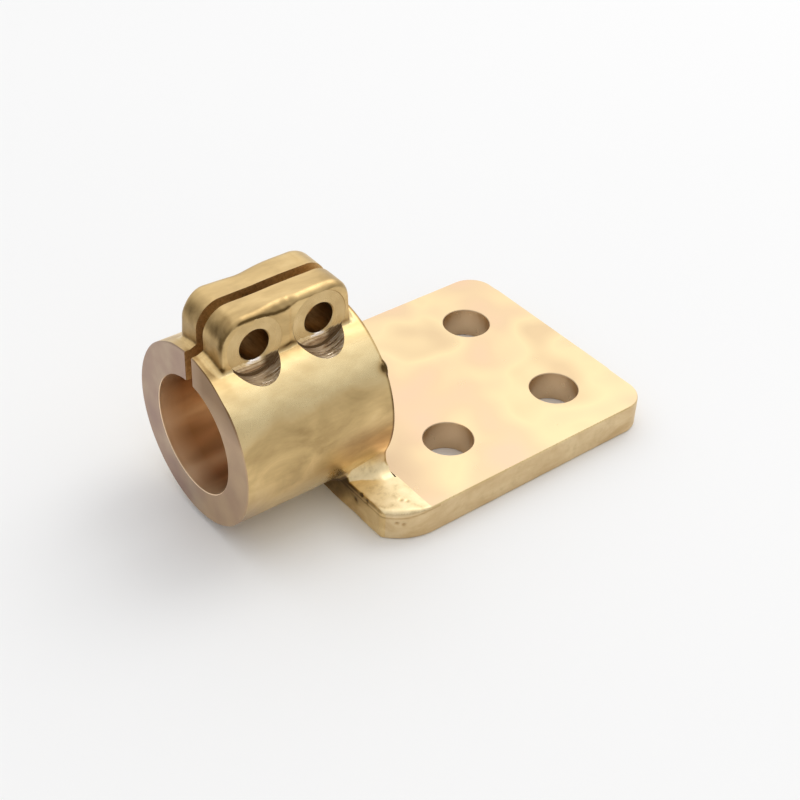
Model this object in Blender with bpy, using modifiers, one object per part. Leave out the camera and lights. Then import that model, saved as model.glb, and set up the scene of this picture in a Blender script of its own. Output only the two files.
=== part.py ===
"""Split-barrel terminal clamp: one brass casting, modelled as its four functional regions.

A flat pad with four bolt holes carries a split barrel. Two ears on top of the barrel take the pinch
bolts. The upper halves of the barrel flex towards each other when the bolts are tightened, so each
is a node of its own, with its origin on the line that it flexes about.

Frame: origin at the centre of the pad's bolt pattern on its underside, +X from barrel to pad end,
+Z up. Metres.
"""

from math import asin, cos, pi, sin

import bmesh
import bpy
from mathutils import Matrix, Vector

# ---------------------------------------------------------------- driving dimensions (metres)
PAD_THICKNESS = 0.0120
PAD_HALF_WIDTH = 0.0495
PAD_END_X = 0.0500
PAD_FOOT_X = -0.0670
PAD_CORNER_R = 0.0100
PAD_EDGE_BREAK = 0.0006
FOOT_CORNER_R = 0.0220
FOOT_CORNER_START_X = -0.0500
HOLE_SPACING = 0.0500
HOLE_R = 0.0090

BARREL_Y = 0.0040
BARREL_Z = 0.0348
BARREL_R = 0.0324
BORE_R = 0.0210
BARREL_FRONT_X = -0.1101
BARREL_BACK_X = -0.0524
BARREL_EDGE = 0.0007

WEB_HALF_WIDTH = 0.0283
WEB_TOP_Z = 0.0250
WEB_FILLET_R = 0.0050
WEB_ROOT_DEPTH = 0.0040

SLOT_WIDTH = 0.0040
EAR_FRONT_X = -0.1056
EAR_BACK_X = -0.0560
EAR_TOP_Z = 0.0829
EAR_FRONT_TOP_R = 0.0090
EAR_BACK_TOP_R = 0.0085
EAR_HALF_WIDTH = 0.0124
EAR_EDGE_R = 0.0032
EAR_FOOT_Z = 0.0480

PINCH_BOLT_X = (-0.09315, -0.06835)
PINCH_BOLT_Z = 0.0710
PINCH_HOLE_R = 0.0055
SPOTFACE_R = 0.0107
SPOTFACE_HALF_WIDTH = 0.0120
SPOTFACE_REACH = 0.0300

SEAM_GAP = 0.0003
FLEX_R = (BARREL_R + BORE_R) / 2
OVERSHOOT = 0.0020
CLEAR_OF_PART = 0.2000
WELD_DISTANCE = 1e-6
FLAT_ANGLE = 0.001

RING_SEGMENTS = 96
HOLE_SEGMENTS = 40
ARC_STEPS = 10
BEVEL_SEGMENTS = 3
SHARP_ANGLE = pi / 6

BRASS = {
    "machined_brass": ((0.80, 0.62, 0.36, 1.0), 0.36),
    "cast_brass": ((0.72, 0.53, 0.25, 1.0), 0.28),
    "jaw_brass": ((0.74, 0.56, 0.29, 1.0), 0.28),
    "far_jaw_brass": ((0.70, 0.52, 0.26, 1.0), 0.28),
}


# ---------------------------------------------------------------- scene helpers
def clear_scene():
    for obj in list(bpy.data.objects):
        bpy.data.objects.remove(obj, do_unlink=True)


def new_collection(name):
    collection = bpy.data.collections.new(name)
    bpy.context.scene.collection.children.link(collection)
    return collection


def brass(name):
    colour, roughness = BRASS[name]
    material = bpy.data.materials.new(name)
    material.use_nodes = True
    shader = material.node_tree.nodes["Principled BSDF"]
    shader.inputs["Base Color"].default_value = colour
    shader.inputs["Metallic"].default_value = 1.0
    shader.inputs["Roughness"].default_value = roughness
    return material


def add_object(name, mesh, collection):
    obj = bpy.data.objects.new(name, mesh)
    collection.objects.link(obj)
    return obj


def as_cutter(obj):
    obj.hide_render = True
    obj.display_type = "WIRE"
    return obj


# ---------------------------------------------------------------- shape helpers
def arc(centre, radius, start, end, steps=ARC_STEPS):
    """Points on an arc from start to end, in degrees."""
    angles = [(start + (end - start) * i / steps) * pi / 180 for i in range(steps + 1)]
    return [(centre[0] + radius * cos(a), centre[1] + radius * sin(a)) for a in angles]


def plate(name, outline, thickness, placement, collection):
    """A flat outline extruded to a plate, placed by a matrix, as a closed mesh object."""
    curve = bpy.data.curves.new(name + "_outline", "CURVE")
    curve.dimensions = "2D"
    curve.fill_mode = "BOTH"
    curve.extrude = thickness / 2
    spline = curve.splines.new("POLY")
    spline.points.add(len(outline) - 1)
    for point, (u, v) in zip(spline.points, outline):
        point.co = (u, v, 0.0, 1.0)
    spline.use_cyclic_u = True
    guide = bpy.data.objects.new(name + "_outline", curve)
    collection.objects.link(guide)
    graph = bpy.context.evaluated_depsgraph_get()
    mesh = bpy.data.meshes.new_from_object(guide.evaluated_get(graph))
    bpy.data.objects.remove(guide, do_unlink=True)
    shape = bmesh.new()
    shape.from_mesh(mesh)
    bmesh.ops.remove_doubles(shape, verts=shape.verts, dist=WELD_DISTANCE)
    bmesh.ops.dissolve_limit(shape, angle_limit=FLAT_ANGLE, verts=shape.verts, edges=shape.edges)
    bmesh.ops.recalc_face_normals(shape, faces=shape.faces)
    shape.transform(placement)
    shape.to_mesh(mesh)
    shape.free()
    return add_object(name, mesh, collection)


def box(name, low, high, collection):
    size = [h - l for l, h in zip(low, high)]
    middle = [(h + l) / 2 for l, h in zip(low, high)]
    shape = bmesh.new()
    bmesh.ops.create_cube(shape, size=1.0, matrix=Matrix.LocRotScale(Vector(middle), None, Vector(size)))
    mesh = bpy.data.meshes.new(name)
    shape.to_mesh(mesh)
    shape.free()
    return add_object(name, mesh, collection)


def rod(name, radius, start, end, segments, collection):
    """A cylinder between two points."""
    along = Vector(end) - Vector(start)
    turn = along.to_track_quat("Z", "Y").to_matrix().to_4x4()
    place = Matrix.Translation((Vector(start) + Vector(end)) / 2) @ turn
    shape = bmesh.new()
    bmesh.ops.create_cone(
        shape, cap_ends=True, segments=segments, radius1=radius, radius2=radius, depth=along.length,
        matrix=place,
    )
    mesh = bpy.data.meshes.new(name)
    shape.to_mesh(mesh)
    shape.free()
    return add_object(name, mesh, collection)


def boolean(obj, cutter, operation="DIFFERENCE"):
    modifier = obj.modifiers.new(cutter.name, "BOOLEAN")
    modifier.operation = operation
    modifier.solver = "EXACT"
    modifier.object = cutter
    return modifier


def round_edges(obj, width, segments=BEVEL_SEGMENTS):
    modifier = obj.modifiers.new("round_edges", "BEVEL")
    modifier.width = width
    modifier.segments = segments
    modifier.limit_method = "ANGLE"
    modifier.angle_limit = SHARP_ANGLE
    modifier.use_clamp_overlap = True
    return modifier


def shade_round(obj):
    obj.data.shade_smooth()
    obj.data.set_sharp_from_angle(angle=SHARP_ANGLE)


# ---------------------------------------------------------------- cutters
def barrel_tube(name, collection):
    """The whole barrel as a turned tube: an outline with broken edges, screwed about the X axis."""
    e = BARREL_EDGE
    front, back = BARREL_FRONT_X, BARREL_BACK_X
    profile = [
        (front + e, BARREL_R), (back - e, BARREL_R), (back, BARREL_R - e), (back, BORE_R + e),
        (back - e, BORE_R), (front + e, BORE_R), (front, BORE_R + e), (front, BARREL_R - e),
    ]
    mesh = bpy.data.meshes.new(name)
    edges = [(i, (i + 1) % len(profile)) for i in range(len(profile))]
    mesh.from_pydata([(r, 0.0, -x) for x, r in profile], edges, [])
    obj = add_object(name, mesh, collection)
    screw = obj.modifiers.new("turn", "SCREW")
    screw.axis = "Z"
    screw.steps = screw.render_steps = RING_SEGMENTS
    screw.use_merge_vertices = True
    screw.merge_threshold = 0.00001
    obj.rotation_euler = (0.0, -pi / 2, 0.0)
    obj.location = (0.0, BARREL_Y, BARREL_Z)
    return obj


def build_cutters(collection):
    """Everything that is cut away: bore, slot, holes, spotfaces and the spaces between regions."""
    far = CLEAR_OF_PART
    side = SLOT_WIDTH / 2
    flex = BARREL_Z
    cutters = {
        "above_saddle": box("above_saddle", (-far, -far, flex - SEAM_GAP / 2), (far, far, far), collection),
        "below_jaws": box("below_jaws", (-far, -far, -far), (far, far, flex + SEAM_GAP / 2), collection),
        "past_near_jaw": box("past_near_jaw", (-far, BARREL_Y - side, -far), (far, far, far), collection),
        "past_far_jaw": box("past_far_jaw", (-far, -far, -far), (far, BARREL_Y + side, far), collection),
        "bore": rod(
            "bore", BORE_R, (BARREL_FRONT_X - OVERSHOOT, BARREL_Y, BARREL_Z),
            (BARREL_BACK_X + OVERSHOOT, BARREL_Y, BARREL_Z), RING_SEGMENTS, collection,
        ),
        "barrel_seat": rod(
            "barrel_seat", BARREL_R + SEAM_GAP, (BARREL_FRONT_X, BARREL_Y, BARREL_Z),
            (BARREL_BACK_X + SEAM_GAP, BARREL_Y, BARREL_Z), RING_SEGMENTS, collection,
        ),
    }
    for i, x in enumerate(PINCH_BOLT_X):
        cutters[f"pinch_hole_{i}"] = rod(
            f"pinch_hole_{i}", PINCH_HOLE_R, (x, BARREL_Y - SPOTFACE_REACH, PINCH_BOLT_Z),
            (x, BARREL_Y + SPOTFACE_REACH, PINCH_BOLT_Z), HOLE_SEGMENTS, collection,
        )
        for name, way in (("near", -1), ("far", 1)):
            cutters[f"{name}_spotface_{i}"] = rod(
                f"{name}_spotface_{i}", SPOTFACE_R, (x, BARREL_Y + way * SPOTFACE_HALF_WIDTH, PINCH_BOLT_Z),
                (x, BARREL_Y + way * SPOTFACE_REACH, PINCH_BOLT_Z), HOLE_SEGMENTS, collection,
            )
    half = HOLE_SPACING / 2
    for i, (x, y) in enumerate(((-half, -half), (half, -half), (half, half), (-half, half))):
        cutters[f"pad_hole_{i}"] = rod(
            f"pad_hole_{i}", HOLE_R, (x, y, -OVERSHOOT), (x, y, PAD_THICKNESS + OVERSHOOT),
            HOLE_SEGMENTS, collection,
        )
    for cutter in cutters.values():
        as_cutter(cutter)
    return cutters


# ---------------------------------------------------------------- the four regions
def pad_outline():
    """Half of the pad's outline from the end corner to the foot corner, mirrored across X."""
    corner = (PAD_END_X - PAD_CORNER_R, PAD_HALF_WIDTH - PAD_CORNER_R)
    sweep = asin((FOOT_CORNER_START_X - PAD_FOOT_X) / FOOT_CORNER_R) * 180 / pi
    foot = (FOOT_CORNER_START_X, PAD_HALF_WIDTH - FOOT_CORNER_R)
    half = arc(corner, PAD_CORNER_R, 0, 90) + arc(foot, FOOT_CORNER_R, 90, 90 + sweep)
    return half + [(u, -v) for u, v in reversed(half)]


def web_outline():
    """Section of the web that fills the wedge between barrel and pad, with a fillet at each toe."""
    toe = WEB_HALF_WIDTH + WEB_FILLET_R
    base = PAD_THICKNESS - WEB_ROOT_DEPTH
    side = [(toe, base)] + arc((toe, PAD_THICKNESS + WEB_FILLET_R), WEB_FILLET_R, 270, 180)
    side += [(WEB_HALF_WIDTH, WEB_TOP_Z)]
    return side + [(-u, v) for u, v in reversed(side)]


def build_contact_pad(parts, tools, cutters):
    lift = Matrix.Translation((0.0, 0.0, PAD_THICKNESS / 2))
    pad = plate("contact_pad", pad_outline(), PAD_THICKNESS, lift, parts)
    length = BARREL_BACK_X - PAD_FOOT_X
    # the web's section lies in the YZ plane, so its plate is turned to run along X
    middle = (PAD_FOOT_X + BARREL_BACK_X) / 2
    turn = Matrix(((0, 0, 1, middle), (1, 0, 0, BARREL_Y), (0, 1, 0, 0), (0, 0, 0, 1)))
    web = as_cutter(plate("web", web_outline(), length, turn, tools))
    boolean(pad, web, "UNION")
    round_edges(pad, PAD_EDGE_BREAK, 1)
    boolean(pad, cutters["barrel_seat"])
    for i in range(4):
        boolean(pad, cutters[f"pad_hole_{i}"])
    pad.data.materials.append(brass("machined_brass"))
    shade_round(pad)
    return pad


def build_barrel_saddle(parts, cutters):
    saddle = barrel_tube("barrel_saddle", parts)
    boolean(saddle, cutters["above_saddle"])
    saddle.data.materials.append(brass("cast_brass"))
    shade_round(saddle)
    return saddle


def ear_block(name, collection):
    """The bolt ears before they are split: a block with rounded top corners and rounded long edges."""
    front = (EAR_FRONT_X + EAR_FRONT_TOP_R, EAR_TOP_Z - EAR_FRONT_TOP_R)
    back = (EAR_BACK_X - EAR_BACK_TOP_R, EAR_TOP_Z - EAR_BACK_TOP_R)
    outline = [(EAR_FRONT_X, EAR_FOOT_Z), (EAR_BACK_X, EAR_FOOT_Z)]
    outline += arc(back, EAR_BACK_TOP_R, 0, 90) + arc(front, EAR_FRONT_TOP_R, 90, 180)
    turn = Matrix(((1, 0, 0, 0), (0, 0, -1, BARREL_Y), (0, 1, 0, 0), (0, 0, 0, 1)))
    block = plate(name, outline, 2 * EAR_HALF_WIDTH, turn, collection)
    round_edges(block, EAR_EDGE_R)
    return as_cutter(block)


def build_jaw(name, side, material, parts, tools, cutters):
    """Upper quarter of the barrel with its ear. side is -1 for the near jaw and +1 for the far one."""
    jaw = barrel_tube(name, parts)
    boolean(jaw, ear_block(name + "_ear", tools), "UNION")
    boolean(jaw, cutters["bore"])
    boolean(jaw, cutters["below_jaws"])
    boolean(jaw, cutters["past_near_jaw" if side < 0 else "past_far_jaw"])
    for i in range(len(PINCH_BOLT_X)):
        boolean(jaw, cutters[f"{'near' if side < 0 else 'far'}_spotface_{i}"])
        boolean(jaw, cutters[f"pinch_hole_{i}"])
    jaw.data.materials.append(brass(material))
    shade_round(jaw)
    flex_line = bpy.data.objects.new(name + "_flex_line", None)
    flex_line.location = (0.0, BARREL_Y + side * FLEX_R, BARREL_Z)
    parts.objects.link(flex_line)
    jaw.parent = flex_line
    jaw.matrix_parent_inverse = Matrix.Translation(-flex_line.location)
    return jaw


def main():
    clear_scene()
    parts = new_collection("terminal_clamp")
    tools = new_collection("cutters")
    cutters = build_cutters(tools)
    build_contact_pad(parts, tools, cutters)
    build_barrel_saddle(parts, cutters)
    build_jaw("near_jaw", -1, "jaw_brass", parts, tools, cutters)
    build_jaw("far_jaw", 1, "far_jaw_brass", parts, tools, cutters)


main()
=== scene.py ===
"""Visual model of a split barrel terminal clamp.

The real object is one brass casting: its contact faces, barrel ends, bore, slot, bolt holes and bolt
seats are machined and the rest stays as cast and linished. The script follows the same steps. It
builds the raw casting as a distance field, meshes it, cuts it with turned and milled tools, splits it
into the CAD model's four regions, and gives each kind of surface its own finish. Lengths inside the
shape code are millimetres in the CAD frame.
"""

import math

import bpy
import numpy as np
from mathutils import Matrix, Vector


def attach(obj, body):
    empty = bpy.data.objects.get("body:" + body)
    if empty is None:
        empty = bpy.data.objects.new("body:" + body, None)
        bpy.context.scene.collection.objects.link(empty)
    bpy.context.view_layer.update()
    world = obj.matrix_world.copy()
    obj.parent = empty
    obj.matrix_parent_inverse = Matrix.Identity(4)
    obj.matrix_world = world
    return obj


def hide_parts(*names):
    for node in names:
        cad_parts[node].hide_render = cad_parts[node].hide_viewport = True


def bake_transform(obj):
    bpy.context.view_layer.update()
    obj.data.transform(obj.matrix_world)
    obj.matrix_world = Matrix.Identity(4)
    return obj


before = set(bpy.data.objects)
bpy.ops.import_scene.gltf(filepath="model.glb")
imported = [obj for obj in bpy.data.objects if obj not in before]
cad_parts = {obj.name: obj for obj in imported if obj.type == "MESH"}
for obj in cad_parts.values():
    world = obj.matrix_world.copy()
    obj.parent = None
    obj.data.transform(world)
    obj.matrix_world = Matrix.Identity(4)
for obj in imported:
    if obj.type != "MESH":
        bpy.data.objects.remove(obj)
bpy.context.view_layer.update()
MM = 0.001

# ------------------------------------------------------------------ sizes (millimetres)
PAD_TOP = 12.0
PAD_HALF_WIDTH = 49.5
PAD_END = 50.0
PAD_FOOT = -67.0
PAD_CORNER_R = 10.0
FOOT_CORNER_R = 22.0
FOOT_CORNER_X = -50.0
HOLES = [(-25, -25), (25, -25), (25, 25), (-25, 25)]
HOLE_R = 9.0
BARREL_Y, BARREL_Z, BARREL_R, BORE_R = 4.0, 34.8, 32.4, 21.0
BARREL_FRONT, BARREL_BACK = -110.1, -52.4
WEB_R = 6.0
WEB_Y, WEB_Z = 34.5, 18.0
STUB_ANGLE = math.radians(144.5)
EAR_FRONT, EAR_BACK = -105.6, -56.0
EAR_FRONT_R, EAR_BACK_R = 9.0, 8.5
EAR_NEAR_Y, EAR_FAR_Y = -8.35, 16.3
EAR_FOOT_Z = 48.0
SLOT_HALF, SLOT_FLOOR = 2.0, 46.0
BOLT_X = (-93.15, -68.35)
BOLT_Z = 71.0
BOLT_R, SEAT_R = 5.5, 10.7
SEATS = ((-8.2, 16.0), (-7.8, 15.9))
SPLIT_Z = 34.8

# as-cast pits: place, radius and depth
PITS = [
    (-63.2, -45.2, 7.2, 0.6, 0.7),
    (-61.2, -46.4, 6.6, 0.6, 0.5),
    (-66.9, -33.4, 10.6, 0.7, 0.55),
    (-66.9, -30.4, 11.2, 0.6, 0.5),
    (-66.9, -27.4, 7.0, 1.0, 0.3),
    (-58.2, -40.6, 12.0, 0.7, 0.3),
    (-56.8, -42.2, 12.0, 0.6, 0.3),
    (-53.2, -25.6, 15.6, 0.8, 1.0),
    (-66.8, 40.0, 7.0, 0.9, 0.5),
    (-80.0, 33.0, 20.0, 0.8, 0.4),
    (-96.0, 12.0, 3.4, 0.9, 0.4),
    (-70.5, -4.0, 3.0, 0.7, 0.4),
    (-91.0, 16.3, 60.0, 0.9, 0.4),
    (20.0, 49.5, 6.5, 0.7, 0.35),
    (50.0, 18.0, 5.0, 0.7, 0.3),
]

# the mesh's cell size, and the kinds of surface, which number the list of finishes
STEP = 0.45
CAST, MILLED, RING, BORE, HOLE, BOLT_HOLE, SEAT, SLOT, GROOVE, JOINT = range(10)
CELL_CORNERS = [(i, j, k) for i in (0, 1) for j in (0, 1) for k in (0, 1)]


# ------------------------------------------------------------------ distance field of the casting
def ease(x, start, end):
    """0 before start and 1 after end, with a smooth rise between them."""
    t = np.clip((x - start) / (end - start), 0.0, 1.0)
    return t * t * (3.0 - 2.0 * t)


def hump(x, centre, width):
    """1 at the centre, fading over width."""
    return np.exp(-(((x - centre) / width) ** 2))


def both(a, b, radius):
    """Where both solids are, with the outer edge between them rounded."""
    return np.minimum(-radius, np.maximum(a, b)) + np.hypot(
        np.maximum(radius + a, 0.0), np.maximum(radius + b, 0.0)
    )


def either(a, b, radius):
    """Where either solid is, with the inner corner between them filleted."""
    return np.maximum(radius, np.minimum(a, b)) - np.hypot(
        np.maximum(radius - a, 0.0), np.maximum(radius - b, 0.0)
    )


def ripple(x, y, z, length, seed, waves=7):
    """Smooth, repeatable unevenness between about -1 and 1: waves in fixed directions."""
    rng = np.random.default_rng(seed)
    total = 0.0
    for _ in range(waves):
        way = rng.normal(size=3)
        way *= 2 * math.pi * rng.uniform(0.7, 1.4) / length / np.linalg.norm(way)
        total = total + np.sin(way[0] * x + way[1] * y + way[2] * z + rng.uniform(0, 6.28))
    return total / math.sqrt(2 * waves)


def edge_roll(x):
    """Radius of the pad's upper edge: the raw foot is rolled over further than the deburred rest."""
    return 0.8 + 1.6 * (1 - ease(x, -62.0, -50.0))


def tube_distance(y, z):
    """Distance outside the barrel's outer cylinder, as if it had no ends."""
    return np.hypot(y - BARREL_Y, z - BARREL_Z) - BARREL_R


def pad_outline(x, y):
    """The pad seen from above: large corners at the foot, small ones at the free end."""
    side = np.abs(y) - PAD_HALF_WIDTH
    round_foot = np.hypot(
        np.minimum(x - FOOT_CORNER_X, 0.0), np.maximum(side + FOOT_CORNER_R, 0.0)
    )
    round_end = np.hypot(
        np.maximum(x - PAD_END + PAD_CORNER_R, 0.0), np.maximum(side + PAD_CORNER_R, 0.0)
    )
    return np.where(x < 0, round_foot - FOOT_CORNER_R, round_end - PAD_CORNER_R)


def foot(x, y, z):
    """The pad with its rounded foot and the web fillets that run up to the barrel."""
    stock = np.where(x > BARREL_BACK + 0.6, 0.2, 0.03)
    along, up = np.abs(y - BARREL_Y) - WEB_Y, z - WEB_Z
    reach = math.hypot(WEB_Y, BARREL_Z - WEB_Z)
    past = (along * (BARREL_Z - WEB_Z) + up * WEB_Y) / reach
    web = np.where(past < 0, WEB_R - np.hypot(along, up), tube_distance(y, z) + 0.8 * past)
    web = web + 3.4 * (1 - ease(x, -68.0, -56.0))  # the fillet sinks away towards the foot's front
    profile = np.minimum(z - PAD_TOP - stock, np.where(along < 0, web, 1e3))
    raw = both(pad_outline(x, y), profile, edge_roll(x))
    raw = both(raw, PAD_FOOT - x, 0.9)
    return both(raw, -0.25 - z, 1.3)


def barrel(x, y, z):
    """The barrel with stock left on its ends, and the small stub of its runner on the rear rim."""
    shape = np.maximum(tube_distance(y, z), np.maximum(BARREL_FRONT - 2.0 - x, x - BARREL_BACK - 1.5))
    across, rise = math.cos(STUB_ANGLE), math.sin(STUB_ANGLE)
    dy = y - BARREL_Y - (BARREL_R - 0.2) * across
    dz = z - BARREL_Z - (BARREL_R - 0.2) * rise
    out = dy * across + dz * rise
    round_rim = dz * across - dy * rise
    stub = np.sqrt((out / 1.3) ** 2 + (round_rim / 2.5) ** 2 + ((x + 52.6) / 1.1) ** 2)
    return either(shape, (stub - 1.0) * 1.3, 0.5)


def ear_top(x):
    """Height of the ears' top, which rises a little towards the rear."""
    return 82.1 + 0.65 * (x + 99.0) / 37.0


def ear_drop(x, z):
    """How far below the ear's top its rubbed upper edge ends on the near face."""
    drop = 1.3 + 1.5 * hump(x, -83.0, 6.5) + 0.7 * hump(x, -68.0, 6.0) - 0.6 * ease(-x, 99.0, 103.0)
    drop = drop - 0.35 * hump(x, -76.5, 1.8) + 0.07 * np.sin(1.9 * x) * hump(x, -84.0, 9.0)
    return drop * (0.35 + 0.65 * ease(z, 66.0, 76.0))


def lean(past_top, past_face):
    """Distance past the plane that the linished top leans over to, from those past the top and the face."""
    return 0.66 * past_top + 0.75 * past_face


def ears(x, y, z):
    """Both bolt ears as one block, before the slot is sawn: hand-linished, so its top and far side wander."""
    top = ear_top(x) + 0.08 * np.sin(0.31 * x)
    front = np.hypot(np.maximum(EAR_FRONT + EAR_FRONT_R - x, 0.0), np.maximum(z - top + EAR_FRONT_R, 0.0))
    back = np.hypot(np.maximum(x - EAR_BACK + EAR_BACK_R, 0.0), np.maximum(z - top + EAR_BACK_R, 0.0))
    profile = np.maximum(np.where(x < -80.0, front - EAR_FRONT_R, back - EAR_BACK_R), EAR_FOOT_Z - z)
    waist = 1.2 * hump(x, -84.5, 6.5) + 0.8 * hump(x, -104.5, 5.0) + 0.6 * hump(x, -56.5, 5.0)
    waist = waist + 0.4 * hump(x, -93.5, 5.0)
    near = EAR_NEAR_Y - y + 0.3 * ease(x, -80.4, -78.8)
    sides = np.maximum(near, y - EAR_FAR_Y + waist * ease(z, 62.0, 78.0))
    # the linished top ends on the near face in an uneven, fairly crisp line
    drop = np.where(y < BARREL_Y, ear_drop(x, z), 0.8)
    return both(both(profile, lean(profile + drop, sides), 1.2), sides, 0.25)


def casting(x, y, z):
    """Distance to the surface of the raw casting, negative inside."""
    shape = either(foot(x, y, z), barrel(x, y, z), 0.02 + 2.0 * (1 - ease(x, -66.8, -64.5)))
    ends = np.maximum(EAR_FRONT - x, x - EAR_BACK)
    shape = either(shape, ears(x, y, z), 0.7 + 2.2 * ease(ends, -1.0, 1.5))
    # sand-cast waviness, strongest on the barrel and foot and none where the pad is milled
    wave = ripple(0.45 * x, y, z, 15.0, 3) * 0.10 + ripple(x, y, z, 6.0, 8) * 0.025
    raw = ease(-x, 40.0, 70.0) * (1 - ease(x, -60.0, -53.0) * (1 - ease(z, 12.5, 16.0)))
    shape = shape + 0.06 + wave * raw + 0.02 * ripple(x, y, z, 9.0, 5)
    for px, py, pz, radius, deep in PITS:
        away = np.sqrt((x - px) ** 2 + (y - py) ** 2 + (z - pz) ** 2)
        shape = shape + deep * hump(away, 0.0, radius)
    return shape


# ------------------------------------------------------------------ meshing
def gradient(field, p, reach=0.04):
    x, y, z = p.T
    rises = (
        field(x + reach, y, z) - field(x - reach, y, z),
        field(x, y + reach, z) - field(x, y - reach, z),
        field(x, y, z + reach) - field(x, y, z - reach),
    )
    return np.stack(rises, axis=1) / (2 * reach)


def onto(field, p, rounds=3):
    """Moves points onto the field's zero surface."""
    for _ in range(rounds):
        slope = gradient(field, p)
        move = field(*p.T)[:, None] * slope / np.maximum((slope**2).sum(1), 0.2)[:, None]
        p = p - np.clip(move, -0.5 * STEP, 0.5 * STEP)
    return p


def sampled(field, axes, slab=20):
    """The field at every grid point, a slab at a time to keep memory low."""
    value = np.empty([len(a) for a in axes], np.float32)
    for i in range(0, len(axes[0]), slab):
        part = slice(i, i + slab)
        value[part] = field(axes[0][part, None, None], axes[1][None, :, None], axes[2][None, None, :])
    return value


def surface_cells(inside):
    """The grid cells that have some corners inside the solid and some outside."""
    nx, ny, nz = inside.shape
    count = sum(
        inside[i : nx - 1 + i, j : ny - 1 + j, k : nz - 1 + k].astype(np.int8) for i, j, k in CELL_CORNERS
    )
    return np.argwhere((count > 0) & (count < 8))


def crossing_middles(value, cell):
    """For each cell, the middle of the points where its edges cross the zero surface, in cells."""
    at = {c: value[tuple((cell + c).T)] for c in CELL_CORNERS}
    total, crossings = np.zeros((len(cell), 3)), np.zeros(len(cell))
    for a in CELL_CORNERS:
        for axis in range(3):
            if a[axis]:
                continue
            b = tuple(1 if n == axis else v for n, v in enumerate(a))
            crosses = (at[a] < 0) != (at[b] < 0)
            share = np.where(crosses, at[a] / np.where(crosses, at[a] - at[b], 1.0), 0.0)
            place = np.tile(np.array(a, float), (len(cell), 1))
            place[:, axis] = share
            total += place * crosses[:, None]
            crossings += crosses
    return cell + total / crossings[:, None]


def crossing_quads(inside, number):
    """For each grid edge that crosses the surface, the quad that joins the four cells around it."""
    quads = []
    for axis in range(3):
        u, v = [n for n in range(3) if n != axis]
        head, tail = [slice(None)] * 3, [slice(None)] * 3
        head[axis], tail[axis] = slice(0, -1), slice(1, None)
        edge = np.argwhere(inside[tuple(head)] != inside[tuple(tail)])
        keep = (edge[:, u] > 0) & (edge[:, v] > 0)
        keep &= (edge[:, u] < inside.shape[u] - 1) & (edge[:, v] < inside.shape[v] - 1)
        edge = edge[keep]
        ring = []
        for du, dv in ((-1, -1), (0, -1), (0, 0), (-1, 0)):
            around = edge.copy()
            around[:, u] += du
            around[:, v] += dv
            ring.append(number[tuple(around.T)])
        quad = np.stack(ring, 1)
        outward = inside[tuple(edge.T)] != (axis == 1)
        quad[~outward] = quad[~outward][:, ::-1]
        quads.append(quad)
    return np.concatenate(quads)


def relaxed(field, points, faces, rounds=2):
    """Evens the mesh out: each vertex moves halfway to its neighbours' middle, then back onto the surface."""
    pairs = np.concatenate([faces[:, [0, 1]], faces[:, [1, 2]], faces[:, [2, 3]], faces[:, [3, 0]]])
    for _ in range(rounds):
        total = np.zeros_like(points)
        near = np.zeros(len(points))
        for a, b in ((0, 1), (1, 0)):
            np.add.at(total, pairs[:, a], points[pairs[:, b]])
            np.add.at(near, pairs[:, a], 1)
        points = onto(field, 0.5 * points + 0.5 * total / near[:, None], 2)
    return onto(field, points)


def mesh_of(field, low, high):
    """A smooth closed quad mesh of the field's zero surface, one vertex in each cell it crosses."""
    axes = [np.arange(a, b + STEP, STEP) for a, b in zip(low, high)]
    value = sampled(field, axes)
    inside = value < 0
    cell = surface_cells(inside)
    number = np.full([n - 1 for n in value.shape], -1, np.int64)
    number[tuple(cell.T)] = np.arange(len(cell))
    points = crossing_middles(value, cell) * STEP + np.array([a[0] for a in axes])
    faces = crossing_quads(inside, number)
    return relaxed(field, points, faces), faces


def mesh_object(name, points, faces, kinds):
    """A mesh object in millimetres, with the kind of surface of each face."""
    mesh = bpy.data.meshes.new(name)
    mesh.from_pydata(points.tolist(), [], [list(f) for f in faces])
    for finish in finishes:
        mesh.materials.append(finish)
    mesh.polygons.foreach_set("material_index", np.asarray(kinds, np.int32))
    obj = bpy.data.objects.new(name, mesh)
    bpy.context.scene.collection.objects.link(obj)
    return obj


def turned(name, axis, centre, profile, segments):
    """A closed turned solid. A profile row is (place along the axis, radius, finish of the band after it)."""
    order = {"x": (0, 1, 2), "y": (1, 2, 0), "z": (2, 0, 1)}[axis]
    points, faces, kinds = [], [], []

    def put(along, radius, turn):
        p = [0.0, 0.0, 0.0]
        p[order[0]] = along
        p[order[1]] = radius * math.cos(turn)
        p[order[2]] = radius * math.sin(turn)
        points.append([p[n] + centre[n] for n in range(3)])

    for along, radius, _ in profile:
        for i in range(segments):
            put(along, radius, 2 * math.pi * i / segments)
    for row in range(len(profile) - 1):
        for i in range(segments):
            j = (i + 1) % segments
            a, b = row * segments, (row + 1) * segments
            faces.append([a + i, a + j, b + j, b + i])
            kinds.append(profile[row][2])
    faces.append(list(range(segments))[::-1])
    faces.append([len(points) - segments + i for i in range(segments)])
    kinds += [profile[0][2], profile[-1][2]]
    return mesh_object(name, np.array(points), faces, kinds)


def block(name, low, high, finish):
    """A closed box with one finish."""
    points = [[(low, high)[(n >> a) & 1][a] for a in range(3)] for n in range(8)]
    faces = [[0, 2, 3, 1], [4, 5, 7, 6], [0, 1, 5, 4], [2, 6, 7, 3], [0, 4, 6, 2], [1, 3, 7, 5]]
    return mesh_object(name, np.array(points, float), faces, [finish] * 6)


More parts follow.
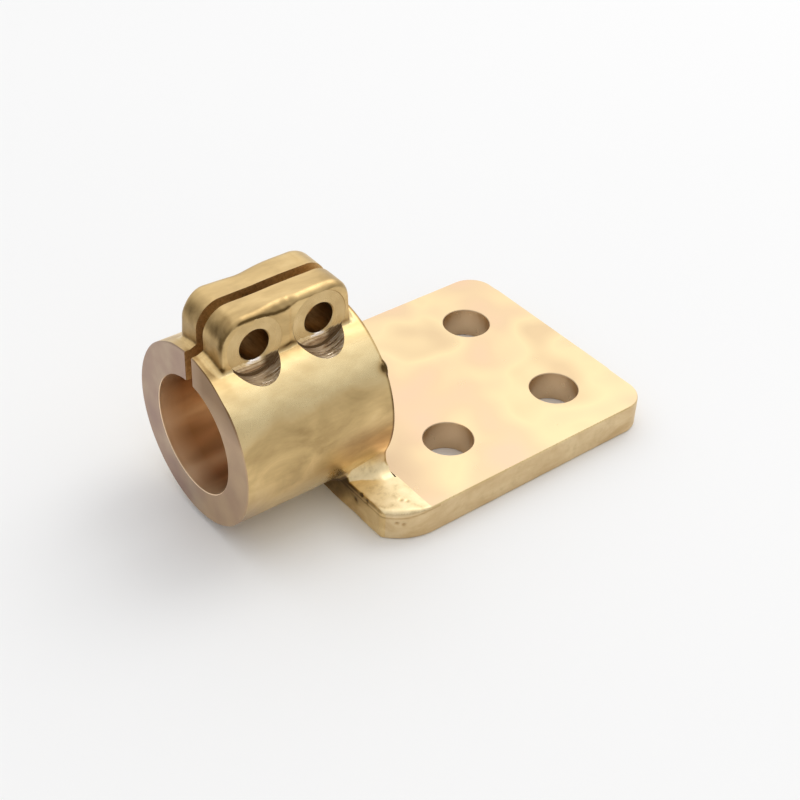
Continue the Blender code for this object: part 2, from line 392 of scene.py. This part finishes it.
def carve(obj, tool, operation="DIFFERENCE"):
    """Applies one Boolean to obj and clears the modifier; the tool is left for the caller to remove."""
    modifier = obj.modifiers.new("cut", "BOOLEAN")
    modifier.operation = operation
    modifier.solver = "MANIFOLD"
    modifier.object = tool
    graph = bpy.context.evaluated_depsgraph_get()
    mesh = bpy.data.meshes.new_from_object(obj.evaluated_get(graph))
    obj.modifiers.clear()
    obj.data = mesh


# ------------------------------------------------------------------ finishes
class Finish:
    """Builds one material's nodes. Patterns sit at the CAD frame's metres, so they run on between pieces."""

    def __init__(self, name, roughness):
        self.material = bpy.data.materials.new(name)
        self.material.use_nodes = True
        self.tree = self.material.node_tree
        self.shader = self.tree.nodes["Principled BSDF"]
        self.shader.inputs["Metallic"].default_value = 1.0
        self.shader.inputs["Roughness"].default_value = roughness
        self.place = self.tree.nodes.new("ShaderNodeTexCoord").outputs["Object"]

    def node(self, kind, inputs=(), **settings):
        made = self.tree.nodes.new("ShaderNode" + kind)
        for key, value in settings.items():
            setattr(made, key, value)
        for key, value in dict(inputs).items():
            if isinstance(value, bpy.types.NodeSocket):
                self.tree.links.new(value, made.inputs[key])
            else:
                made.inputs[key].default_value = value
        return made

    def math(self, operation, a, b=0.0):
        return self.node("Math", {0: a, 1: b}, operation=operation).outputs[0]

    def stretched(self, x, y, z):
        return self.node("Mapping", {"Vector": self.place, "Scale": (x, y, z)}).outputs[0]

    def noise(self, size, detail=3.0, rough=0.5, vector=None, twist=0.0):
        """Noise with features about size millimetres across."""
        inputs = {
            "Vector": vector or self.place,
            "Scale": 1000.0 / size,
            "Detail": detail,
            "Roughness": rough,
            "Distortion": twist,
        }
        return self.node("TexNoise", inputs).outputs["Fac"]

    def attribute(self, name):
        return self.node("Attribute", attribute_name=name).outputs["Fac"]

    def remap(self, value, low, high, to_low=0.0, to_high=1.0):
        inputs = {0: value, 1: low, 2: high, 3: to_low, 4: to_high}
        return self.node("MapRange", inputs).outputs[0]

    def ramp(self, value, stops):
        made = self.node("ValToRGB", {0: value})
        bands = made.color_ramp.elements
        while len(bands) < len(stops):
            bands.new(0.5)
        for band, (place, colour) in zip(bands, stops):
            band.position = place
            band.color = (*colour, 1.0)
        return made.outputs[0]

    def blend(self, share, a, b):
        made = self.node("Mix", data_type="RGBA")
        for key, value in ((0, share), (6, a), (7, b)):
            if isinstance(value, bpy.types.NodeSocket):
                self.tree.links.new(value, made.inputs[key])
            else:
                made.inputs[key].default_value = (*value, 1.0) if key else value
        return made.outputs[2]

    def colour(self, value):
        self.tree.links.new(value, self.shader.inputs["Base Color"])

    def roughness(self, value):
        self.tree.links.new(value, self.shader.inputs["Roughness"])

    def relief(self, height, distance, strength=1.0):
        bump = self.node("Bump", {"Height": height, "Distance": distance, "Strength": strength})
        self.tree.links.new(bump.outputs[0], self.shader.inputs["Normal"])


# dark brown of painted shade, used in the bolt seats, the seat cutter's groove and the nick
SHADE_BROWN = (0.11, 0.065, 0.03)


def cast_finish():
    """Cast brass, linished by hand: bright where the belt reached, brown where it did not, and lighter or
    darker by the painted light and shade stored in its tone.
    """
    f = Finish("linished_brass", 0.32)
    cloud = f.noise(15.0, 4.0, 0.55, f.stretched(0.6, 1.0, 1.0), 1.1)
    streak = f.noise(4.0, 4.0, 0.6, f.stretched(0.3, 1.0, 1.0), 0.4)
    grain = f.noise(0.5, 3.0, 0.6)
    tone = f.math("ADD", f.attribute("tone"), f.remap(cloud, 0.3, 0.7, -0.15, 0.14))
    tone = f.math("ADD", tone, f.remap(streak, 0.3, 0.7, -0.06, 0.06))
    brass = f.ramp(
        tone,
        [
            (0.0, (0.12, 0.072, 0.024)),
            (0.3, (0.40, 0.27, 0.115)),
            (0.6, (0.68, 0.485, 0.225)),
            (1.0, (0.94, 0.75, 0.41)),
        ],
    )
    raw = f.attribute("raw")
    speckle = f.noise(3.2, 3.0, 0.55)
    skin = f.ramp(
        speckle,
        [(0.30, (0.70, 0.55, 0.31)), (0.45, (0.89, 0.73, 0.44)), (0.65, (0.98, 0.82, 0.53))],
    )
    brass = f.blend(f.math("MULTIPLY", raw, f.remap(tone, 0.55, 0.9, 0.0, 0.85)), brass, skin)
    f.colour(f.blend(f.attribute("blush"), brass, (0.40, 0.275, 0.21)))
    rough = f.math("ADD", f.remap(tone, 0.2, 1.0, 0.42, 0.27), f.math("MULTIPLY", raw, 0.20))
    f.roughness(f.math("ADD", rough, f.remap(grain, 0.3, 0.7, -0.04, 0.04)))
    height = f.math("ADD", f.math("MULTIPLY", streak, 0.5), f.math("MULTIPLY", grain, 0.04))
    f.relief(height, 0.00010, 0.6)
    return f.material


def milled_finish():
    """Milled and lightly sanded flats, with the barrel's reflection painted darker on the pad beside it."""
    f = Finish("milled_brass", 0.30)
    cloud = f.noise(24.0, 1.0, 0.4, None, 0.15)
    fine = f.noise(9.0, 2.0, 0.5)
    split = f.node("SeparateXYZ", {0: f.place}).outputs
    brass = f.ramp(
        cloud,
        [
            (0.30, (0.86, 0.60, 0.40)),
            (0.45, (0.84, 0.62, 0.38)),
            (0.60, (0.91, 0.71, 0.41)),
            (0.75, (0.78, 0.58, 0.34)),
        ],
    )
    # painted reflection: the pad's top is darker beside the barrel, where it reflects it
    forward = f.math("ADD", split[0], f.remap(cloud, 0.3, 0.7, -0.006, 0.006))
    aside = f.math("ABSOLUTE", f.math("SUBTRACT", split[1], BARREL_Y * MM))
    barrel_reflection = f.math("MULTIPLY", f.remap(forward, -0.034, -0.050), f.remap(aside, 0.054, 0.028))
    f.colour(f.blend(barrel_reflection, brass, (0.66, 0.48, 0.30)))
    sanding = f.noise(1.8, 1.0, 0.5, f.stretched(0.06, 1.0, 1.0))
    f.roughness(f.remap(f.math("ADD", fine, f.math("MULTIPLY", sanding, 0.2)), 0.3, 0.9, 0.26, 0.36))
    height = f.math("ADD", f.math("MULTIPLY", cloud, 2.0), f.math("MULTIPLY", sanding, 0.05))
    f.relief(height, 0.0003, 0.3)
    return f.material


def axis_distance(f, axis, centre):
    """Distance from a line along one axis, in millimetres."""
    offset = [0.0 if n == axis else -c * MM for n, c in enumerate(centre)]
    moved = f.node("Mapping", {"Vector": f.place, "Location": offset}).outputs[0]
    flat = f.node("Mapping", {"Vector": moved, "Scale": [0.0 if n == axis else 1000.0 for n in range(3)]})
    return f.node("VectorMath", {0: flat.outputs[0]}, operation="LENGTH").outputs["Value"]


def ring_finish():
    """The barrel's turned front face: fine rings from the facing tool."""
    f = Finish("turned_brass", 0.36)
    distance = axis_distance(f, 0, (0.0, BARREL_Y, BARREL_Z))
    rings = f.math("SINE", f.math("MULTIPLY", distance, 2 * math.pi / 0.8))
    cloud = f.noise(12.0, 2.0)
    cool = f.ramp(
        cloud, [(0.3, (0.33, 0.21, 0.16)), (0.5, (0.39, 0.265, 0.19)), (0.7, (0.47, 0.35, 0.245))]
    )
    warm = f.ramp(cloud, [(0.3, (0.44, 0.29, 0.18)), (0.7, (0.55, 0.39, 0.235))])
    dull = f.ramp(cloud, [(0.3, (0.21, 0.12, 0.052)), (0.7, (0.29, 0.17, 0.08))])
    split = f.node("SeparateXYZ", {0: f.place}).outputs
    near = f.remap(split[1], (BARREL_Y + 2) * MM, (BARREL_Y - 8) * MM)
    high = f.math("MULTIPLY", near, f.remap(split[2], 0.048, 0.058))
    f.colour(f.blend(high, f.blend(near, cool, warm), dull))
    f.roughness(f.remap(cloud, 0.3, 0.7, 0.33, 0.39))
    f.relief(f.math("ADD", rings, f.noise(0.8)), 0.000006, 0.5)
    return f.material


def bore_finish():
    """The reamed bore, copper brown, with broad lengthwise bands, painted light on a paler, duller mouth low
    down, and painted shade on its darker roof.
    """
    f = Finish("bored_brass", 0.28)
    bands = f.noise(11.0, 2.0, 0.45, f.stretched(0.2, 1.0, 1.0), 0.5)
    brown = f.ramp(
        bands, [(0.32, (0.50, 0.33, 0.19)), (0.5, (0.74, 0.50, 0.295)), (0.68, (0.96, 0.72, 0.46))]
    )
    split = f.node("SeparateXYZ", {0: f.place}).outputs
    # painted light: paler low down near the bore's front end
    mouth = f.remap(split[0], (BARREL_FRONT + 9) * MM, (BARREL_FRONT + 2) * MM)
    mouth = f.math("MULTIPLY", mouth, f.remap(split[2], 0.052, 0.044))
    # painted shade: darker towards the bore's roof
    roof = f.ramp(bands, [(0.3, (0.34, 0.22, 0.13)), (0.7, (0.52, 0.36, 0.23))])
    brown = f.blend(f.remap(split[2], 0.040, 0.050), brown, roof)
    f.colour(f.blend(mouth, brown, (0.98, 0.76, 0.52)))
    f.roughness(f.math("ADD", f.remap(bands, 0.3, 0.7, 0.30, 0.42), f.math("MULTIPLY", mouth, 0.06)))
    f.relief(bands, 0.0002, 0.25)
    return f.material


def plain_cut(name, light, dark, roughness, size, lines, depth=0.00004):
    """A drilled or sawn surface with fine tool lines. lines is the stretch along X, Y and Z."""
    f = Finish(name, roughness)
    marks = f.noise(size, 3.0, 0.6, f.stretched(*lines))
    f.colour(f.ramp(marks, [(0.3, dark), (0.7, light)]))
    f.roughness(f.remap(marks, 0.3, 0.7, roughness - 0.06, roughness + 0.08))
    f.relief(marks, depth, 0.5)
    return f.material


def seat_pattern(f):
    """Shared by the bolt seats: place and distance from the nearer bolt in mm, and the face's colour."""
    split = f.node("SeparateXYZ", {0: f.place}).outputs
    x, y, z = (f.math("MULTIPLY", v, 1000.0) for v in split)
    radius = f.math("MINIMUM", *[axis_distance(f, 1, (b, 0.0, BOLT_Z)) for b in BOLT_X])
    face = f.ramp(
        f.noise(7.0, 3.0),
        [(0.3, (0.53, 0.37, 0.17)), (0.5, (0.60, 0.43, 0.205)), (0.7, (0.69, 0.51, 0.26))],
    )
    return x, y, z, radius, face


def seat_finish():
    """Bolt seats: as pale as the ear's face up there, with chatter marks, painted highlights and painted
    shade where they run into the barrel.
    """
    f = Finish("seat_brass", 0.30)
    x, y, z, radius, face = seat_pattern(f)
    marks = f.node("CombineXYZ", {0: radius, 1: y, 2: f.math("MULTIPLY", x, 0.12)}).outputs[0]
    chatter = f.node(
        "TexNoise", {"Vector": marks, "Scale": 1.1, "Detail": 3.0, "Roughness": 0.6, "Distortion": 0.3}
    ).outputs["Fac"]
    level = f.math("ADD", z, f.remap(chatter, 0.3, 0.7, -0.5, 0.5))
    # stripes by height below each hole, broken up by the chatter: the light ones are painted highlights and
    # the dark ones painted shade, darkest in the bottom corner
    flat = f.ramp(
        f.remap(level, 60.0, 66.0),
        [
            (0.10, (0.10, 0.06, 0.03)),
            (0.30, (0.52, 0.38, 0.24)),
            (0.42, (0.34, 0.22, 0.13)),
            (0.56, (0.80, 0.66, 0.46)),
            (0.66, (0.46, 0.32, 0.19)),
            (0.74, (0.84, 0.68, 0.42)),
            (0.86, (0.78, 0.60, 0.34)),
        ],
    )
    # painted highlight: a near-white glint on the flat just under each hole
    second = f.math("GREATER_THAN", x, sum(BOLT_X) / 2)
    aside = f.math("SUBTRACT", x, f.remap(second, 0.0, 1.0, *BOLT_X))
    middle = f.remap(f.math("ABSOLUTE", f.math("ADD", aside, 0.6)), 3.2, 2.0)
    painted_glint = f.math("MULTIPLY", middle, f.remap(level, 64.2, 64.8))
    flat = f.blend(painted_glint, flat, (1.0, 0.93, 0.86))
    # painted shade: darker towards the right of each bolt
    shade = f.remap(aside, 1.8, 4.2, 0.0, 0.88)
    flat = f.blend(shade, flat, SHADE_BROWN)
    # the notch wall's chatter marks, their near-white stripes partly painted highlight
    brown = f.ramp(
        chatter,
        [
            (0.34, (0.15, 0.09, 0.05)),
            (0.43, (0.62, 0.48, 0.34)),
            (0.53, (1.0, 0.91, 0.78)),
            (0.65, (0.74, 0.60, 0.43)),
        ],
    )
    outward = f.math("ABSOLUTE", f.math("SUBTRACT", y, BARREL_Y))
    brown = f.blend(f.remap(outward, 14.0, 18.5, 0.0, 0.7), brown, (1.0, 0.88, 0.70))
    cut = f.blend(f.remap(radius, 10.0, 10.5), flat, brown)
    fresh = f.remap(level, 65.9, 65.3)
    f.colour(f.blend(fresh, face, cut))
    f.roughness(f.remap(chatter, 0.3, 0.7, 0.24, 0.36))
    f.relief(f.math("MULTIPLY", chatter, fresh), 0.00035, 0.9)
    return f.material


def groove_finish():
    """The corner that the seat cutter leaves: painted shade low down in the barrel and at the cusp between
    the bolts, and faint on the ear's face.
    """
    f = Finish("groove_brass", 0.40)
    x, _, z, _, face = seat_pattern(f)
    low = f.remap(z, 66.6, 65.6)
    between_bolts = f.remap(f.math("ABSOLUTE", f.math("ADD", x, 79.0)), 2.2, 1.2)
    cusp = f.math("MULTIPLY", f.remap(z, 74.0, 72.5), between_bolts)
    f.colour(f.blend(f.math("MAXIMUM", low, cusp), face, SHADE_BROWN))
    return f.material


# in the order of CAST, MILLED, RING and so on
finishes = [
    cast_finish(),
    milled_finish(),
    ring_finish(),
    bore_finish(),
    plain_cut("drilled_brass", (0.72, 0.55, 0.36), (0.68, 0.51, 0.32), 0.32, 2.5, (0.6, 0.6, 0.5), 0.00001),
    # painted shade: the bolt holes' very dark brown stands for the shade inside them
    plain_cut("pinch_hole_shaded_brass", (0.29, 0.175, 0.07), (0.17, 0.10, 0.038), 0.36, 0.8, (1.0, 0.2, 1.0)),
    seat_finish(),
    plain_cut("sawn_brass", (0.80, 0.56, 0.27), (0.56, 0.38, 0.17), 0.45, 0.7, (1.0, 0.3, 1.0)),
    groove_finish(),
]
finishes.append(finishes[BORE])  # JOINT, which is inside the metal and not seen


# ------------------------------------------------------------------ casting, then machining
def pad_hole_profile():
    """A drill that passes right through and breaks both edges of the hole."""
    edge, flare = 0.22, 3.0
    return [
        (-flare, HOLE_R + flare + edge, HOLE),
        (edge, HOLE_R, HOLE),
        (PAD_TOP - edge, HOLE_R, HOLE),
        (PAD_TOP + flare, HOLE_R + flare + edge, HOLE),
    ]


def bolt_profile(near, far):
    """Along Y: the near seat, the bolt hole with broken edges, the far seat. Planes are near and far."""
    nose, edge, reach = 0.6, 0.35, 30.0
    return [
        (near - reach, SEAT_R, SEAT),
        (near - nose, SEAT_R, GROOVE),
        (near, SEAT_R - nose, SEAT),
        (near, BOLT_R + edge, SEAT),
        (near + edge, BOLT_R, BOLT_HOLE),
        (far - edge, BOLT_R, SEAT),
        (far, BOLT_R + edge, SEAT),
        (far, SEAT_R - nose, GROOVE),
        (far + nose, SEAT_R, SEAT),
        (far + reach, SEAT_R, SEAT),
    ]


def facing_profile():
    """Cuts the barrel's front face flat and breaks its outer edge."""
    edge, wide = 0.5, 150
    return [
        (BARREL_FRONT - 20, wide, RING),
        (BARREL_FRONT + edge, wide, RING),
        (BARREL_FRONT + edge, BARREL_R + 0.15, RING),
        (BARREL_FRONT, BARREL_R - 0.4, RING),
    ]


def bore_profile():
    """Bores the barrel through, with a small chamfer at both ends that never reaches the pad."""
    chamfer, flare = 0.2, 4.0
    return [
        (BARREL_FRONT - flare, BORE_R + chamfer + flare, BORE),
        (BARREL_FRONT + chamfer, BORE_R, BORE),
        (BARREL_BACK - chamfer, BORE_R, BORE),
        (BARREL_BACK + 0.5, BORE_R + chamfer + 0.5, BORE),
        (BARREL_BACK + flare, BORE_R + chamfer + 0.5, BORE),
    ]


def build_casting():
    """The raw casting, then each cut in turn."""
    points, faces = mesh_of(casting, (-112.5, -51.0, -2.0), (52.0, 51.0, 85.0))
    body = mesh_object("casting", points, faces, np.zeros(len(faces)))
    axis = (0, BARREL_Y, BARREL_Z)
    # the milling tools and the saw reach past the casting on every side
    past_front, past_side, past_top, past_under = -130, 60, 100, -8
    slot_near, slot_far = BARREL_Y - SLOT_HALF, BARREL_Y + SLOT_HALF
    cuts = [
        block("mill_top", (BARREL_BACK, -past_side, PAD_TOP), (past_side, past_side, past_top), MILLED),
        block("mill_under", (past_front, -past_side, past_under), (past_side, past_side, 0), MILLED),
        turned("face_front", "x", axis, facing_profile(), 160),
        turned("bore", "x", axis, bore_profile(), 160),
        block("saw", (past_front, slot_near, SLOT_FLOOR), (-40, slot_far, past_top), SLOT),
        # painted shadow: the nick takes the groove finish, which paints it dark as the shadow of the mill's
        # small step
        block("nick", (-52.75, -30.4, 11.3), (-52.2, -26.2, 13.2), GROOVE),
    ]
    for x, y in HOLES:
        cuts.append(turned("drill", "z", (x, y, 0), pad_hole_profile(), 96))
    for x, (near, far) in zip(BOLT_X, SEATS):
        cuts.append(turned("seat_tool", "y", (x, 0, BOLT_Z), bolt_profile(near, far), 96))
    for tool in cuts:
        carve(body, tool)
        bpy.data.objects.remove(tool)
    return body


# ------------------------------------------------------------------ the four regions
def region(whole, name, tool, operation="INTERSECT"):
    """A copy of the whole casting inside or outside a tool, closed where it was split."""
    piece = bpy.data.objects.new(name, whole.data.copy())
    bpy.context.scene.collection.objects.link(piece)
    carve(piece, tool, operation)
    return piece


# painted light and shade on the barrel, by how far the surface faces up: (vertical part of its normal, tone)
BARREL_LIT_TONE = [
    (-1.0, 0.66), (-0.9, 0.68), (-0.82, 0.82), (-0.707, 0.98), (-0.57, 0.90), (-0.42, 0.76),
    (-0.26, 0.62), (-0.1, 0.56), (0.1, 0.48), (0.26, 0.46), (0.42, 0.57), (0.57, 0.82),
    (0.707, 0.92), (0.82, 0.86), (0.91, 0.62), (1.0, 0.66),
]

# dark marks: how dark, where, and how wide (one width, or one along each axis)
MARKS = [
    (1.00, (-52.6, -22.4, 53.8), 2.2),
    (0.45, (-105.4, -7.6, 75.5), (1.0, 1.2, 3.4)),
    (0.60, (-105.0, -8.4, 66.2), (0.9, 1.2, 1.0)),
    (0.35, (-58.5, -8.6, 66.0), (1.6, 1.2, 0.7)),
]


def spot(p, centre, width):
    """1 at a point, fading over width millimetres."""
    away = [(p[:, n] - centre[n]) ** 2 / np.broadcast_to(width, 3)[n] ** 2 for n in range(3)]
    return np.exp(-sum(away))


def barrel_lit_tone(x, z, up):
    """Painted light and shade: lighter or darker by how far the surface faces up, then brighter or duller in
    a few places where the light and the belt differ.
    """
    tone = np.interp(up, *zip(*BARREL_LIT_TONE))
    # painted light and shade: the low middle is lifted and the low rear dimmed, to offset what they reflect
    low_middle = hump(x, -74.0, 8.0) * ease(-up, 0.1, 0.5)
    low_rear = ease(x, -77.0, -69.0) * hump(up, -0.3, 0.25)
    high_rear = ease(x, -67.0, -58.0) * hump(up, 0.2, 0.4)
    front_lip = ease(-x, 103.5, 106.0) * ease(z, 58.0, 62.0)
    return tone + 0.40 * low_middle - 0.24 * low_rear + 0.13 * high_rear - 0.12 * front_lip


def ear_lit_tone(y, z, n):
    """Painted light and shade by facing: paler on the ears' flat sides, duller on their front faces and
    rounded front corners, and darker on the near top edge's rounding.
    """
    near, forward, aside, up = y < BARREL_Y, -n[:, 0], n[:, 1], n[:, 2]
    tone = np.where(near, 0.56, 0.58) + np.where(near, 0.04, 0.16) * ease(np.abs(aside), 0.6, 0.9)
    tone = tone - np.where(near, 0.20, 0.28) * ease(forward, 0.5, 0.9)
    tone = tone - np.where(near, 0.22, 0.08) * ease(forward, 0.25, 0.5) * ease(up, 0.25, 0.5)
    return tone - 0.13 * near * ease(-aside, 0.30, 0.55) * ease(up, 0.2, 0.45) * (z > 74)


def darkness(p, up, tube):
    """Darker along the rear rim and the rubbed edges, in the ears' lower corners and round the pits."""
    x, y, z = p.T
    rear_rim = ease(x, -53.4, -52.7) * (tube > -1.0) * (z > 14)
    past_face = EAR_NEAR_Y - y
    slope = lean(z - ear_top(x) + 0.1 + ear_drop(x, z), past_face)
    top_line = hump(slope, -0.05, 0.26) * hump(past_face, -0.2, 0.5) * (z > 74) * (x > -104.0)
    roll_line = hump(z, PAD_TOP - edge_roll(x) - 0.15, 0.30) * (x < -48) * (np.abs(up) < 0.5)
    foot_line = hump(x, PAD_FOOT + 0.25, 0.35) * (z > 10.6) * (z < 14) * (tube > 1.5)
    dark = 0.45 * rear_rim + 0.55 * top_line + 0.30 * roll_line + 0.35 * foot_line
    between_seats = (-80.3, -8.4, 66.1 + 0.4 * hump(x, -79.8, 1.2))
    dark = dark + 0.60 * spot(p, between_seats, (3.2, 1.2, 0.7))
    for strength, place, width in MARKS:
        dark = dark + strength * spot(p, place, width)
    for px, py, pz, radius, _ in PITS:
        dark = dark + 0.5 * spot(p, (px, py, pz), 0.9 * radius)
    return dark


def wear_and_light_of(p, n):
    """Per point: tone (0 dull brown to 1 bright), which holds painted light and shade as well as wear, pink
    blush, and where the raw casting skin is left.
    """
    x, y, z = p.T
    up, tube = n[:, 2], tube_distance(y, z)
    on_ear = ease(z, 64.5, 67.0) * (x > EAR_FRONT - 1) * (x < EAR_BACK + 1)
    tone = barrel_lit_tone(x, z, up) * (1 - on_ear) + ear_lit_tone(y, z, n) * on_ear
    pad_edge = (z < PAD_TOP - 0.5) * (x > PAD_FOOT + 1) * (np.abs(up) < 0.6)
    pad_edge = pad_edge & ((tube > 1.5) | (x > BARREL_BACK + 1))
    tone = np.where(pad_edge, 0.75, tone)
    foot_top = (z < 18) & (x > PAD_FOOT + 0.4) & (up > 0.7) & (tube > 0.5)
    tone = np.where(foot_top, 1.0, tone)
    # painted shade: the foot's front face is darker under the barrel's overhang
    foot_front = ease(-n[:, 0], 0.5, 0.9) * (x < PAD_FOOT + 3) * (z < 14)
    shade_under_barrel = 1 - ease(tube, 1.0, 14.0)
    tone = tone * (1 - foot_front) + foot_front * (0.68 - 0.56 * shade_under_barrel)
    foot_zone = ease(-x, 44.0, 54.0) * ease(x, -68.5, -66.6) * ease(-z, -26.0, -17.0) * (1 - foot_front)
    # painted light: the web fillets are lifted to full tone, against the dark that they reflect, and are not
    # darkened in their hollows
    web_zone = foot_zone * ease(-tube, -12.0, -2.0) * (z > 9)
    tone = tone + web_zone * (1.0 - tone)
    # painted shade: darker in hollows and creases, most at the ears' root; ridges are lighter with wear
    painted_hollow_shade = np.clip(1.0 - casting(*(p + 1.4 * n).T) / 1.4, 0, 1)
    ridge = np.clip(1.0 + casting(*(p - 0.8 * n).T) / 0.8, 0, 1)
    ear_root = (np.abs(z - 65.5) < 2.5) * (x > -104)
    tone = tone - (0.35 + 0.7 * ear_root) * painted_hollow_shade * (1 - web_zone) + 0.25 * ridge
    front_below = ease(-x, 98.0, 110.0) * ease(BARREL_Z - z, 0.0, 22.0)
    rear_side = ease(x, -80.0, -71.0) * hump(up, -0.17, 0.22)
    blush = (0.8 * front_below + 0.3 * rear_side) * (tube < 1.5)
    return {
        "tone": tone - darkness(p, up, tube),
        "blush": np.where(pad_edge, 0.25, blush),
        "raw": np.where(pad_edge, 0.6, foot_zone * (z > 10.5)),
    }


def values_of(items, name, kind, width=1):
    """One property of all of a mesh's points, edges, faces or corners."""
    values = np.empty(len(items) * width, kind)
    items.foreach_get(name, values)
    return values.reshape(-1, width) if width > 1 else values


def sharpen_borders(mesh, corner_kind):
    """Makes every edge sharp where two kinds of surface meet, besides those already sharp by angle."""
    corner_edge = values_of(mesh.loops, "edge_index", np.int32)
    lowest, highest = np.full(len(mesh.edges), JOINT), np.full(len(mesh.edges), CAST)
    np.minimum.at(lowest, corner_edge, corner_kind)
    np.maximum.at(highest, corner_edge, corner_kind)
    sharp = mesh.attributes["sharp_edge"].data
    sharp.foreach_set("value", values_of(sharp, "value", bool) | (lowest != highest))
    mesh.update()


def finish_surface(obj):
    """Stores the wear with the painted light and shade, and sets the normals: the field's own on raw faces,
    the tools' on cut ones.
    """
    mesh = obj.data
    points = values_of(mesh.vertices, "co", float, 3)
    slope = gradient(casting, points)
    slope /= np.linalg.norm(slope, axis=1)[:, None]
    for name, values in wear_and_light_of(points, slope).items():
        mesh.attributes.new(name, "FLOAT", "POINT").data.foreach_set("value", values.astype(np.float32))
    mesh.shade_smooth()
    mesh.set_sharp_from_angle(angle=math.radians(28))
    kinds = values_of(mesh.polygons, "material_index", np.int32)
    corner_kind = np.repeat(kinds, values_of(mesh.polygons, "loop_total", np.int32))
    sharpen_borders(mesh, corner_kind)
    normals = values_of(mesh.corner_normals, "vector", np.float32, 3)
    raw = corner_kind == CAST
    normals[raw] = slope[values_of(mesh.loops, "vertex_index", np.int32)[raw]]
    mesh.transform(Matrix.Scale(MM, 4))
    mesh.normals_split_custom_set(normals.tolist())
    return obj


def build_regions(whole):
    """The casting split where the CAD is: pad, saddle under the hinge line, and the two jaws above it."""
    far = 300
    above = block("above", (-far, -far, SPLIT_Z), (far, far, far), JOINT)
    near_half = block("near_half", (-far, -far, -far), (far, BARREL_Y, far), JOINT)
    seat = turned(
        "barrel_seat", "x", (0, BARREL_Y, BARREL_Z),
        [(-130, BARREL_R + 0.5, JOINT), (BARREL_BACK + 0.01, BARREL_R + 0.5, JOINT)], 160,
    )
    jaws = region(whole, "jaws", above)
    near_jaw = region(jaws, "near_jaw_skin", near_half)
    far_jaw = region(jaws, "far_jaw_skin", near_half, "DIFFERENCE")
    lower = region(whole, "lower", above, "DIFFERENCE")
    saddle = region(lower, "saddle_skin", seat)
    pad = region(lower, "pad_skin", seat, "DIFFERENCE")
    for obj in (whole, above, near_half, seat, jaws, lower):
        bpy.data.objects.remove(obj)
    return [finish_surface(obj) for obj in (pad, saddle, near_jaw, far_jaw)]


pad, saddle, near_jaw, far_jaw = build_regions(build_casting())
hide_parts("contact_pad")
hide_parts("barrel_saddle")
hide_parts("near_jaw")
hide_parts("far_jaw")
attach(pad, "base")
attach(saddle, "base")
for piece, body, side in ((near_jaw, "near_jaw", -1), (far_jaw, "far_jaw", 1)):
    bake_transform(piece)


# ------------------------------------------------------------------ studio
def square_light(name, place, target, side, power):
    """A soft square lamp, turned to face a target."""
    data = bpy.data.lights.new(name, "AREA")
    data.shape = "RECTANGLE"
    data.size, data.size_y = side, side
    data.energy = power
    obj = bpy.data.objects.new(name, data)
    obj.location = place
    obj.rotation_mode = "QUATERNION"
    obj.rotation_quaternion = (Vector(target) - Vector(place)).to_track_quat("-Z", "Y")
    bpy.context.scene.collection.objects.link(obj)


def studio_world():
    """Soft light from a large bright ceiling, dimmer towards the horizon in front of the object."""
    world = bpy.data.worlds.new("studio")
    bpy.context.scene.world = world
    world.use_nodes = True
    tree = world.node_tree
    background = tree.nodes["Background"]
    way = tree.nodes.new("ShaderNodeTexCoord").outputs["Generated"]
    height = tree.nodes.new("ShaderNodeVectorMath")
    height.operation = "DOT_PRODUCT"
    tree.links.new(way, height.inputs[0])
    height.inputs[1].default_value = (0.30, 0.35, 1.0)
    ramp = tree.nodes.new("ShaderNodeValToRGB")
    bands = ramp.color_ramp.elements
    levels = [
        (0.0, 0.66), (0.10, 0.56), (0.28, 0.56), (0.55, 0.76), (0.76, 0.98), (0.9, 1.03), (1.0, 1.25),
    ]
    while len(bands) < len(levels):
        bands.new(0.5)
    for band, (place, level) in zip(bands, levels):
        band.position = place
        band.color = (level, level, level, 1.0)
    tree.links.new(height.outputs["Value"], ramp.inputs[0])
    tree.links.new(ramp.outputs[0], background.inputs["Color"])
    background.inputs["Strength"].default_value = 1.0


def studio_floor():
    """A plain, pale, round floor just under the pad."""
    radius, corners = 2.5, 64
    turns = [2 * math.pi * n / corners for n in range(corners)]
    mesh = bpy.data.meshes.new("floor")
    ring = [(radius * math.cos(turn), radius * math.sin(turn), 0.0) for turn in turns]
    mesh.from_pydata(ring, [], [list(range(corners))])
    f = Finish("studio_floor", 0.9)
    f.shader.inputs["Metallic"].default_value = 0.0
    f.shader.inputs["Specular IOR Level"].default_value = 0.1
    soft = f.noise(400.0, 1.0)
    f.colour(f.ramp(soft, [(0.3, (0.91, 0.91, 0.91)), (0.7, (0.92, 0.92, 0.92))]))
    mesh.materials.append(f.material)
    obj = bpy.data.objects.new("floor", mesh)
    bpy.context.scene.collection.objects.link(obj)
    obj.location = (0.0, 0.0, -0.0001)


def studio_camera():
    """Looks down at the clamp over the barrel's near front, from about half a metre away."""
    camera = bpy.data.cameras.new("camera")
    camera.lens = 67.64
    camera.sensor_width = 36.0
    obj = bpy.data.objects.new("camera", camera)
    obj.location = (-0.296654, -0.326399, 0.347399)
    obj.rotation_euler = [math.radians(a) for a in (51.744231, -2.096970, -37.903134)]
    bpy.context.scene.collection.objects.link(obj)
    bpy.context.scene.camera = obj


studio_world()
studio_floor()
square_light("key", (0.9, 0.1, 1.3), (-0.03, 0.0, 0.02), 0.9, 4.0)
studio_camera()
bpy.context.scene.view_settings.view_transform = "Standard"
